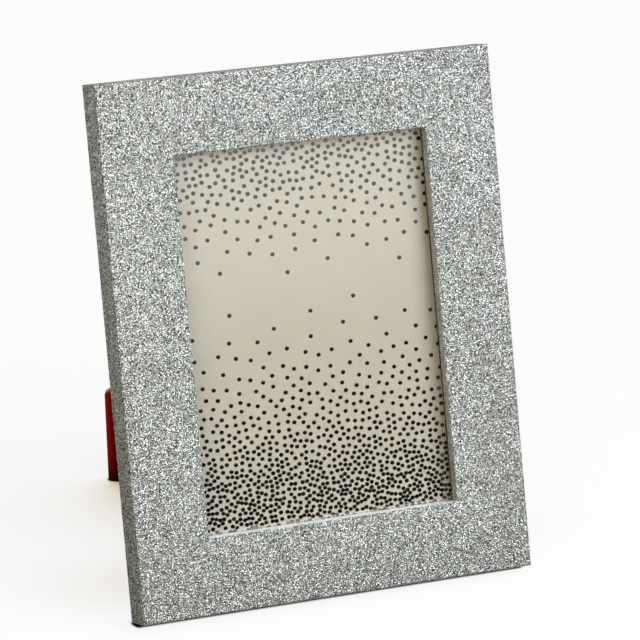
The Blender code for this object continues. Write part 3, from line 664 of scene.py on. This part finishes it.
# %% Paper edge
def paper_edge():
    finish, tree, shader = new_finish("paper edge", Roughness=0.9)
    fibre = use_group(tree, board_fibres, Place=object_place(tree), Fibre_Length=0.0008, Fibre_Stretch=1.5)["Fibre"]
    pulp = ramp(tree, fibre, [(0.3, (0.62, 0.6, 0.56)), (0.7, (0.8, 0.79, 0.76))])
    tree.links.new(pulp, shader.inputs["Base Color"])
    return finish


skin.data.materials.append(glitter_ground())
skin.data.materials.append(paper_edge())
print("the skin's finishes:", [finish.name for finish in skin.data.materials])


# %% Loose flakes: the material
def loose_flake():
    finish, tree, shader = new_finish("loose flake", Roughness=0.14, Specular_IOR_Level=0.2)
    shade = add(tree, "ShaderNodeAttribute", attribute_name="shade").outputs["Fac"]
    tint = add(tree, "ShaderNodeAttribute", attribute_name="tint").outputs["Fac"]
    tree.links.new(use_group(tree, flake_colour, Shade=shade, Tint=tint)["Color"], shader.inputs["Base Color"])
    flake_mirror(tree, shader, shade, 0.95)
    return finish


# %% Start a Geometry Nodes tree
def new_geometry_tree(name, inputs):
    """A tree with a Geometry input and output, and named inputs given as (name, kind)."""
    tree = bpy.data.node_groups.new(name, "GeometryNodeTree")
    tree.interface.new_socket("Geometry", in_out="INPUT", socket_type="NodeSocketGeometry")
    for label, kind in inputs:
        tree.interface.new_socket(label, in_out="INPUT", socket_type="NodeSocket" + kind)
    tree.interface.new_socket("Geometry", in_out="OUTPUT", socket_type="NodeSocketGeometry")
    source = tree.nodes.new("NodeGroupInput")
    result = tree.nodes.new("NodeGroupOutput")
    return tree, source.outputs, result.inputs


def end_tree(tree, instances, material, output):
    """Makes the instances real and gives them their finish."""
    real = add(tree, "GeometryNodeRealizeInstances", {"Geometry": instances}).outputs[0]
    coated = add(tree, "GeometryNodeSetMaterial", {"Geometry": real, "Material": material}).outputs[0]
    tree.links.new(coated, output)


def grown_mesh(name, source_mesh, tree, **values):
    """Runs a tree on a mesh and gives the result as a plain mesh."""
    carrier = add_object(name + " carrier", source_mesh)
    grown = carrier.modifiers.new("grow", "NODES")
    grown.node_group = tree
    for item in tree.interface.items_tree:
        key = item.name.replace(" ", "_")
        if item.in_out == "INPUT" and key in values:
            grown[item.identifier] = values[key]
    mesh = worked_mesh(carrier)
    mesh.name = name
    bpy.data.objects.remove(carrier, do_unlink=True)
    return mesh


# %% Chance in a tree
def random_value(tree, kind, low, high, seed):
    """A random number or vector for each point. Low and high are values or sockets."""
    node = tree.nodes.new("FunctionNodeRandomValue")
    node.data_type = kind
    for label, value in (("Min", low), ("Max", high), ("Seed", seed)):
        feed(tree, next(one for one in node.inputs if one.enabled and one.name == label), value)
    return next(one for one in node.outputs if one.enabled)


def turned_more(tree, rotation, turn):
    """A rotation with a further turn in the piece's own directions."""
    feeds = {"Rotation": rotation, "Rotate By": turn}
    return add(tree, "FunctionNodeRotateRotation", feeds, rotation_space="LOCAL").outputs[0]


# %% Loose flakes: points on one rail
flake_tree, given, gives = new_geometry_tree(
    "scatter flakes",
    [
        ("Flakes per Square Metre", "Float"),
        ("Flake Radius", "Float"),
        ("Most Tilt", "Float"),
        ("Rail", "Int"),
        ("Seed", "Int"),
        ("Finish", "Material"),
    ],
)
rail = add(flake_tree, "GeometryNodeInputNamedAttribute", {"Name": "rail"}, data_type="INT").outputs[0]
chosen = add(
    flake_tree, "FunctionNodeCompare", {2: rail, 3: given["Rail"]}, data_type="INT", operation="EQUAL"
).outputs[0]
scattered = add(
    flake_tree,
    "GeometryNodeDistributePointsOnFaces",
    {
        "Mesh": given["Geometry"],
        "Selection": chosen,
        "Density": given["Flakes per Square Metre"],
        "Seed": given["Seed"],
    },
).outputs

# %% Loose flakes: lean and size
LEAN_SEED, SIZE_SEED, SHADE_SEED, TINT_SEED = 3, 5, 7, 11
SMALLEST, LARGEST = 0.6, 1.3

least = calculate(flake_tree, "MULTIPLY", given["Most Tilt"], -1.0)
low_turn = add(flake_tree, "ShaderNodeCombineXYZ", {0: least, 1: least, 2: 0.0}).outputs[0]
high_turn = add(
    flake_tree, "ShaderNodeCombineXYZ", {0: given["Most Tilt"], 1: given["Most Tilt"], 2: math.tau}
).outputs[0]
lean_each = random_value(flake_tree, "FLOAT_VECTOR", low_turn, high_turn, LEAN_SEED)
hexagon = add(
    flake_tree, "GeometryNodeMeshCircle", {"Vertices": 6, "Radius": given["Flake Radius"]}, fill_type="NGON"
).outputs[0]
flakes = add(
    flake_tree,
    "GeometryNodeInstanceOnPoints",
    {
        "Points": scattered["Points"],
        "Instance": hexagon,
        "Rotation": turned_more(flake_tree, scattered["Rotation"], lean_each),
        "Scale": random_value(flake_tree, "FLOAT", SMALLEST, LARGEST, SIZE_SEED),
    },
).outputs[0]
for label, seed in (("shade", SHADE_SEED), ("tint", TINT_SEED)):
    chance = random_value(flake_tree, "FLOAT", 0.0, 1.0, seed)
    flakes = add(
        flake_tree,
        "GeometryNodeStoreNamedAttribute",
        {"Geometry": flakes, "Name": label, "Value": chance},
        data_type="FLOAT",
        domain="INSTANCE",
    ).outputs[0]
end_tree(flake_tree, flakes, given["Finish"], gives["Geometry"])

# %% Loose flakes: one piece for each rail
FLAKES_PER_SQUARE_METRE = 3.3e6
FLAKE_RADIUS = 0.175 * MM
MOST_TILT = math.radians(24)
FIRST_SEED = 20

flake_finish = loose_flake()
for index, rail_name in enumerate(RAILS):
    flake_mesh = grown_mesh(
        "flakes_" + rail_name,
        skin.data,
        flake_tree,
        Flakes_per_Square_Metre=FLAKES_PER_SQUARE_METRE,
        Flake_Radius=FLAKE_RADIUS,
        Most_Tilt=MOST_TILT,
        Rail=index,
        Seed=FIRST_SEED + index,
        Finish=flake_finish,
    )
    ride_frame(add_object("flakes_" + rail_name, flake_mesh))
    print(len(flake_mesh.polygons), "loose flakes on the", rail_name, "rail")

ride_frame(skin)
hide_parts("glitter_wrap_bottom", "glitter_wrap_left", "glitter_wrap_right", "glitter_wrap_top")

# %% [markdown]
# ## Glass
#
# Picture glass is a flat pane that bends nothing one would notice. A true glass shader would keep lamplight off
# the card behind it, so rays from lamps and soft light pass by a clear shader, and the camera meets the glass.


# %% Picture glass
def picture_glass():
    finish, tree, shader = new_finish("picture glass", Roughness=0.0, IOR=1.5, Transmission_Weight=1.0)
    shader.inputs["Base Color"].default_value = (0.985, 0.995, 0.99, 1.0)
    path = tree.nodes.new("ShaderNodeLightPath").outputs
    unseen = calculate(tree, "MAXIMUM", path["Is Shadow Ray"], path["Is Diffuse Ray"])
    clear = tree.nodes.new("ShaderNodeBsdfTransparent").outputs[0]
    mix_surfaces(tree, unseen, shader.outputs[0], clear)
    return finish


dress("glass_pane", picture_glass())

# %% [markdown]
# ## Card with foil dots
#
# The card that comes with such a frame is pearly champagne card with pressed foil dots, crowded at the foot,
# thinning to nothing, and gathering again at the top. The dots have no row or column. Dart throwing gives that:
# a dot is kept only if it is far enough from all the others, and how far depends on the height.


# %% Champagne card
def champagne_card():
    finish, tree, shader = new_finish("champagne card", Roughness=0.42)
    fibre = use_group(tree, board_fibres, Place=object_place(tree), Fibre_Length=0.0012, Fibre_Stretch=1.6)
    pearl = ramp(tree, fibre["Cloud"], [(0.3, (0.478, 0.433, 0.342)), (0.7, (0.499, 0.453, 0.359))])
    grain = ramp(tree, fibre["Fibre"], [(0.3, grey(0.97)), (0.7, grey(1.0))])
    tree.links.new(blend_colours(tree, 1.0, pearl, grain, "MULTIPLY"), shader.inputs["Base Color"])
    raise_grain(tree, shader, fibre["Fibre"], 0.15, 0.00003)
    return finish


dress("printed_card", champagne_card())

# %% How crowded the dots are
HEAD_CROWD, HEAD_REACH, HEAD_FADE = 0.105, 0.36, 1.7
FOOT_CROWD, FOOT_START, FOOT_REACH, FOOT_FADE = 0.24, 0.38, 0.62, 2.3
LEAST_CROWD = 0.0004
FILLING = 0.69
CLOSEST = 1.97


def dots_per_square_mm(from_top):
    """How crowded the dots are at a height, given as a share of the opening from its top."""
    head = HEAD_CROWD * max(0.0, 1 - from_top / HEAD_REACH) ** HEAD_FADE
    foot = FOOT_CROWD * max(0.0, (from_top - FOOT_START) / FOOT_REACH) ** FOOT_FADE
    return head + foot


# %% Where the dots lie
CARD_FRONT = 9.2 * MM
CARD_HALF_W = 64.0 * MM
CARD_FOOT = 34.0 * MM
CARD_HEAD = 212.5 * MM
OPENING_TOP = 211.5 * MM
OPENING_H = 175.5 * MM
DOTS_SEED = 7
DOT_TRIES = 75000


def throw_dots():
    """Points of the dots as (x, z) on the card, kept apart by the room that each needs."""
    chance = np.random.default_rng(DOTS_SEED)
    kept = np.empty((0, 3))
    for _ in range(DOT_TRIES):
        x = chance.uniform(-CARD_HALF_W, CARD_HALF_W)
        z = chance.uniform(CARD_FOOT, CARD_HEAD)
        crowd = dots_per_square_mm((OPENING_TOP - z) / OPENING_H)
        if crowd < LEAST_CROWD:
            continue
        room_round = max(math.sqrt(FILLING / crowd), CLOSEST) * MM
        apart = np.hypot(kept[:, 0] - x, kept[:, 1] - z)
        if np.all(apart > np.minimum(room_round, kept[:, 2])):
            kept = np.vstack([kept, (x, z, room_round)])
    return kept[:, :2]


dot_places = throw_dots()
print(len(dot_places), "foil dots on the card")

# %% One pressed dot
DOT_R = 1.03 * MM
DOT_WIDER = 1.13
DOT_STEPS = 14
DOT_RINGS = ((1.0, 0.0), (0.93, 0.045), (0.62, 0.022))


def pressed_dot():
    """A shallow dish with a raised rim, flat on its back, standing on the plane Z 0."""
    shape = bmesh.new()
    loops = []
    for share, height in DOT_RINGS:
        loop = []
        for step in range(DOT_STEPS):
            angle = math.tau * step / DOT_STEPS
            across = DOT_R * DOT_WIDER * share * math.cos(angle)
            loop.append(shape.verts.new((across, DOT_R * share * math.sin(angle), height * MM)))
        loops.append(loop)
    foot, brim, dish = loops
    for inner, outer in ((brim, foot), (dish, brim)):
        for i in range(DOT_STEPS):
            j = (i + 1) % DOT_STEPS
            shape.faces.new((outer[i], outer[j], inner[j], inner[i]))
    shape.faces.new(dish)
    shape.faces.new(foot[::-1])
    for face in shape.faces:
        face.smooth = len(face.verts) == 4
    return finished_mesh(shape, "dot")


# %% Foil
def black_foil():
    finish, tree, shader = new_finish("black foil", Roughness=0.08)
    crumple = noise(tree, object_place(tree), 1500.0, 2.0)
    black = ramp(tree, crumple, [(0.3, grey(0.001)), (0.7, (0.003, 0.003, 0.002))])
    tree.links.new(black, shader.inputs["Base Color"])
    raise_grain(tree, shader, crumple, 0.12, 0.00003)
    return finish


# %% Press the dots onto the card
SUNK_IN = 0.01 * MM
SMALLEST_DOT = 0.94

dots_tree, given, gives = new_geometry_tree(
    "press dots",
    [("Dot", "Object"), ("Turn", "Rotation"), ("Least Size", "Float"), ("Seed", "Int"), ("Finish", "Material")],
)
dot_shape = add(dots_tree, "GeometryNodeObjectInfo", {"Object": given["Dot"]}).outputs["Geometry"]
dot_size = random_value(dots_tree, "FLOAT", given["Least Size"], 1.0, given["Seed"])
pressed = add(
    dots_tree,
    "GeometryNodeInstanceOnPoints",
    {"Points": given["Geometry"], "Instance": dot_shape, "Rotation": given["Turn"], "Scale": dot_size},
).outputs[0]
end_tree(dots_tree, pressed, given["Finish"], gives["Geometry"])

dot_points = bpy.data.meshes.new("dot points")
dot_points.from_pydata([STANDING @ Vector((x, CARD_FRONT - SUNK_IN, z)) for x, z in dot_places], [], [])
one_dot = add_object("one dot", pressed_dot())
dots_mesh = grown_mesh(
    "foil_dots",
    dot_points,
    dots_tree,
    Dot=one_dot,
    Turn=(math.pi / 2 - LEAN, 0, 0),
    Least_Size=SMALLEST_DOT,
    Seed=4,
    Finish=black_foil(),
)
bpy.data.objects.remove(one_dot, do_unlink=True)
ride_frame(add_object("foil_dots", dots_mesh))
print(len(dots_mesh.polygons), "faces in the foil dots")

# %% [markdown]
# ## Red board, raw board and MDF
#
# The leg and the back are thin hardboard with a dark red face on both sides. Where the saw went through, the
# yellow-brown fibres show, and along the corners the red is rubbed off. The mask for the cut edges comes from the
# surface's own direction: a cut edge looks away from the board's face. Both boards get painted shade, darker by
# ambient occlusion where other parts stand close. The leg stands deep in the frame's shade, so its front face also
# gets painted shade, darker from the foot's outer corner towards the frame.

# %% Shade towards the frame
FOOT_SHADE_W = 10.0 * MM
FOOT_SHADE = [(0.10, grey(1.0)), (0.25, grey(0.60)), (0.42, grey(0.16)), (0.60, grey(0.07)), (1.0, grey(0.10))]


def foot_shade(tree, place, along, face_direction, corner):
    """Painted shade: darker along a level line from a corner of the foot, on the face that looks at the frame."""
    level_line = face_direction.cross(Vector((0, 0, 1))).normalized()
    level_line *= math.copysign(1.0, level_line.x)
    run = share_along(tree, place, level_line)
    start = corner.dot(level_line)
    inwards = remap(tree, run, start, start + FOOT_SHADE_W)
    to_frame = calculate(tree, "LESS_THAN", along, -0.8)
    return ramp(tree, calculate(tree, "MULTIPLY", inwards, to_frame), FOOT_SHADE)


# %% Rubbed corners
RUBBED_W = 0.5 * MM


def rubbed_corners(tree, fibre):
    """Strongest where a rounded normal turns away from the face's own, and patchy as the fibres are."""
    rounded = add(tree, "ShaderNodeBevel", {"Radius": RUBBED_W}, samples=6).outputs[0]
    true_face = tree.nodes.new("ShaderNodeNewGeometry").outputs["Normal"]
    rubbed = remap(tree, share_along(tree, rounded, true_face), 0.99, 0.93)
    return calculate(tree, "MULTIPLY", rubbed, fibre, clamp=True)


# %% Red faced board
def red_board(name, face_direction, shade_reach, corner=None):
    """Red faces and raw cut edges, with painted shade: darker by ambient occlusion within reach of what stands close,
    and inwards from a given corner.
    """
    finish, tree, shader = new_finish(name, Roughness=0.72, Specular_IOR_Level=0.03)
    coordinates = tree.nodes.new("ShaderNodeTexCoord").outputs
    place = coordinates["Object"]
    fibre = use_group(tree, board_fibres, Place=place, Fibre_Length=0.002, Fibre_Stretch=3.0)["Fibre"]
    along = share_along(tree, coordinates["Normal"], face_direction)
    on_face = remap(tree, calculate(tree, "ABSOLUTE", along), 0.75, 0.85)
    red = ramp(tree, fibre, [(0.32, (0.14, 0.002, 0.001)), (0.68, (0.70, 0.014, 0.008))])
    raw = ramp(tree, fibre, [(0.3, (0.50, 0.27, 0.10)), (0.7, (0.72, 0.44, 0.18))])
    # Painted shade by ambient occlusion, multiplied into the base colour.
    shade = ramp(tree, openness(tree, shade_reach, 12), [(0.25, grey(0.01)), (0.85, grey(1.0))])
    if corner:
        dim = foot_shade(tree, place, along, face_direction, corner)
        shade = blend_colours(tree, 1.0, shade, dim, "MULTIPLY")
    coloured = blend_colours(tree, on_face, raw, red)
    coloured = blend_colours(tree, rubbed_corners(tree, fibre), coloured, raw)
    tree.links.new(blend_colours(tree, 1.0, coloured, shade, "MULTIPLY"), shader.inputs["Base Color"])
    raise_grain(tree, shader, fibre, 0.4, 0.0001)
    return finish


# %% Leg and back
LEG_OPEN = math.radians(48.153)
FOOT_HEIGHT = 3.0 * MM

hinge = next(joint for joint in frame["joints"] if joint["name"] == "leg_fold")
hinge_line = Vector(hinge["axis"]).normalized()
back_direction = Vector((0, math.cos(LEAN), -math.sin(LEAN)))
leg_direction = Matrix.Rotation(LEG_OPEN, 3, hinge_line) @ back_direction
leg_piece = frame["nodes"]["easel_leg"]
standing_on = [
    corner.co.copy() for corner in leg_piece.data.vertices if (leg_piece.matrix_world @ corner.co).z < FOOT_HEIGHT
]
foot_corner = min(standing_on, key=lambda corner: corner.x)
print("the leg's foot stands at", [round(value / MM, 1) for value in leg_piece.matrix_world @ foot_corner], "mm")
dress("easel_leg", red_board("red leg board", leg_direction, 22.0 * MM, foot_corner))
dress("backboard", red_board("red back board", back_direction, 15.0 * MM))


# %% Raw boards
def raw_board(name, dark, light, fibre_length):
    finish, tree, shader = new_finish(name, Roughness=0.88)
    fibre = use_group(tree, board_fibres, Place=object_place(tree), Fibre_Length=fibre_length, Fibre_Stretch=2.2)
    base = ramp(tree, fibre["Fibre"], [(0.3, dark), (0.7, light)])
    cloudy = ramp(tree, fibre["Cloud"], [(0.3, grey(0.88)), (0.7, grey(1.0))])
    tree.links.new(blend_colours(tree, 1.0, base, cloudy, "MULTIPLY"), shader.inputs["Base Color"])
    raise_grain(tree, shader, fibre["Fibre"], 0.5, 0.00012)
    return finish


mdf = raw_board("raw MDF", (0.40, 0.27, 0.15), (0.55, 0.40, 0.25), 0.0016)
for rail_name in RAILS:
    dress("rail_" + rail_name, mdf)
dress("filler_board", raw_board("grey filler board", (0.28, 0.26, 0.23), (0.42, 0.40, 0.36), 0.002))

# %% [markdown]
# ## Metal fittings
#
# The hinge, turn buttons, hangers and corner nails are zinc plated, with a cloudy bloom and fine scratches. The
# rivets, nails and screws are brass plated.

# %% Plated finishes
DULLER = 0.12


def plated(name, dull, bright, roughness):
    """Dull metal is rougher than bright metal, by a fixed amount."""
    finish, tree, shader = new_finish(name, Metallic=1.0)
    wear = use_group(tree, plating, Place=object_place(tree), Bloom_Size=0.004, Scratch_Size=0.0006)
    tree.links.new(ramp(tree, wear["Bloom"], [(0.3, dull), (0.7, bright)]), shader.inputs["Base Color"])
    rough = remap(tree, wear["Bloom"], 0.3, 0.7, roughness + DULLER, roughness)
    tree.links.new(rough, shader.inputs["Roughness"])
    raise_grain(tree, shader, wear["Scratches"], 0.25, 0.00004)
    return finish


zinc = plated("zinc plated steel", (0.50, 0.51, 0.52), (0.66, 0.66, 0.67), 0.30)
brass = plated("brass plated steel", (0.52, 0.36, 0.15), (0.74, 0.54, 0.26), 0.24)
plated_slots = {"zinc_plated_steel": zinc, "brassed_steel": brass}
plated_pieces = [piece for piece in frame["record"]["subparts"] if piece["material_slot"] in plated_slots]
for piece in plated_pieces:
    dress(piece["node"], plated_slots[piece["material_slot"]])
print("plated pieces:", len(plated_pieces))

# %% [markdown]
# ## Cross-head screws
#
# Small brass wood screws hold the turn buttons. A lathe turns the blank, so here one profile is spun round its
# axis, and a punch presses the cross, so here two tapered wedges are cut from the head. Geometry Nodes then sets a
# screw on each button, and each stops at another turn, as screws do.

# %% Turn the blank
HEAD_R = 3.0 * MM
HEAD_H = 1.5 * MM
RIM_H = 0.3 * MM
SHANK_R = 1.5 * MM
SCREW_L = 9.5 * MM
POINT_L = 2.0 * MM
DOME_STEPS = 5
SPIN_STEPS = 32

dome_h = HEAD_H - RIM_H
dome_r = (HEAD_R**2 + dome_h**2) / (2 * dome_h)
dome_reach = math.asin(HEAD_R / dome_r)
profile = []
for step in range(DOME_STEPS + 1):
    angle = dome_reach * step / DOME_STEPS
    profile.append((dome_r * math.sin(angle), HEAD_H - dome_r * (1 - math.cos(angle))))
profile += [(HEAD_R, 0.0), (SHANK_R, 0.0), (SHANK_R, POINT_L - SCREW_L), (0.0, -SCREW_L)]

blank = bmesh.new()
corners = [blank.verts.new((radius, 0, height)) for radius, height in profile]
edges = [blank.edges.new(pair) for pair in zip(corners, corners[1:])]
bmesh.ops.spin(
    blank,
    geom=corners + edges,
    cent=(0, 0, 0),
    axis=(0, 0, 1),
    angle=math.tau,
    steps=SPIN_STEPS,
    use_merge=True,
)
bmesh.ops.remove_doubles(blank, verts=blank.verts, dist=0.001 * MM)
bmesh.ops.recalc_face_normals(blank, faces=blank.faces)
one_screw = add_object("one screw", finished_mesh(blank, "screw blank"))

# %% Press the cross
CROSS_L, CROSS_FOOT_L = 1.9 * MM, 0.7 * MM
CROSS_W, CROSS_FOOT_W = 0.42 * MM, 0.26 * MM
CROSS_TOP, CROSS_FOOT = HEAD_H + 0.3 * MM, 0.35 * MM


def cross_punch(turn):
    """A wedge that gets shorter and thinner downwards."""
    wedge = bmesh.new()
    bmesh.ops.create_cube(wedge, size=1.0)
    for corner in wedge.verts:
        above = corner.co.z > 0
        length = 2 * corner.co.x * (CROSS_L if above else CROSS_FOOT_L)
        width = 2 * corner.co.y * (CROSS_W if above else CROSS_FOOT_W)
        corner.co = (length, width, CROSS_TOP if above else CROSS_FOOT)
    bmesh.ops.rotate(wedge, verts=wedge.verts, matrix=Matrix.Rotation(turn, 3, "Z"))
    return add_object("punch", finished_mesh(wedge, "punch"))


punches = [cross_punch(turn) for turn in (0, math.pi / 2)]
for punch in punches:
    pressed_in = one_screw.modifiers.new("press", "BOOLEAN")
    pressed_in.object = punch
    pressed_in.operation = "DIFFERENCE"
    pressed_in.solver = "EXACT"
screw_mesh = worked_mesh(one_screw)
one_screw.modifiers.clear()
one_screw.data = screw_mesh
for punch in punches:
    bpy.data.objects.remove(punch, do_unlink=True)
screw_mesh.shade_smooth()
screw_mesh.set_sharp_from_angle(angle=math.radians(35))
print(len(screw_mesh.polygons), "faces in one screw")

# %% Find the screws' places
SCREW_NODES = [piece["node"] for piece in plated_pieces if piece["node"].startswith("button_screw_")]


def under_head(node):
    """Where the underside of a screw's head lies, in its middle, on the leaning frame."""
    cad = frame["nodes"][node]
    across, inward, up = zip(*(LYING @ (cad.matrix_world @ corner.co) for corner in cad.data.vertices))
    middle = ((min(across) + max(across)) / 2, max(inward) - HEAD_H, (min(up) + max(up)) / 2)
    return STANDING @ Vector(middle)


screw_points = bpy.data.meshes.new("screw points")
screw_points.from_pydata([under_head(node) for node in SCREW_NODES], [], [])
print(len(screw_points.vertices), "places for screws")

# %% Set the screws
screws_tree, given, gives = new_geometry_tree(
    "set screws", [("Screw", "Object"), ("Turn", "Rotation"), ("Seed", "Int"), ("Finish", "Material")]
)
screw_shape = add(screws_tree, "GeometryNodeObjectInfo", {"Object": given["Screw"]}).outputs["Geometry"]
last_turn = random_value(
    screws_tree, "FLOAT_VECTOR", (0.0, 0.0, 0.0), (0.0, 0.0, math.tau), given["Seed"]
)
driven = add(
    screws_tree,
    "GeometryNodeInstanceOnPoints",
    {
        "Points": given["Geometry"],
        "Instance": screw_shape,
        "Rotation": turned_more(screws_tree, given["Turn"], last_turn),
    },
).outputs[0]
end_tree(screws_tree, driven, given["Finish"], gives["Geometry"])

screws_mesh = grown_mesh(
    "button_screws",
    screw_points,
    screws_tree,
    Screw=one_screw,
    Turn=(-math.pi / 2 - LEAN, 0, 0),
    Seed=6,
    Finish=brass,
)
bpy.data.objects.remove(one_screw, do_unlink=True)
button_screws = add_object("button_screws", screws_mesh)
ride_frame(button_screws)
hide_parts(*SCREW_NODES)
print(len(SCREW_NODES), "screws set")
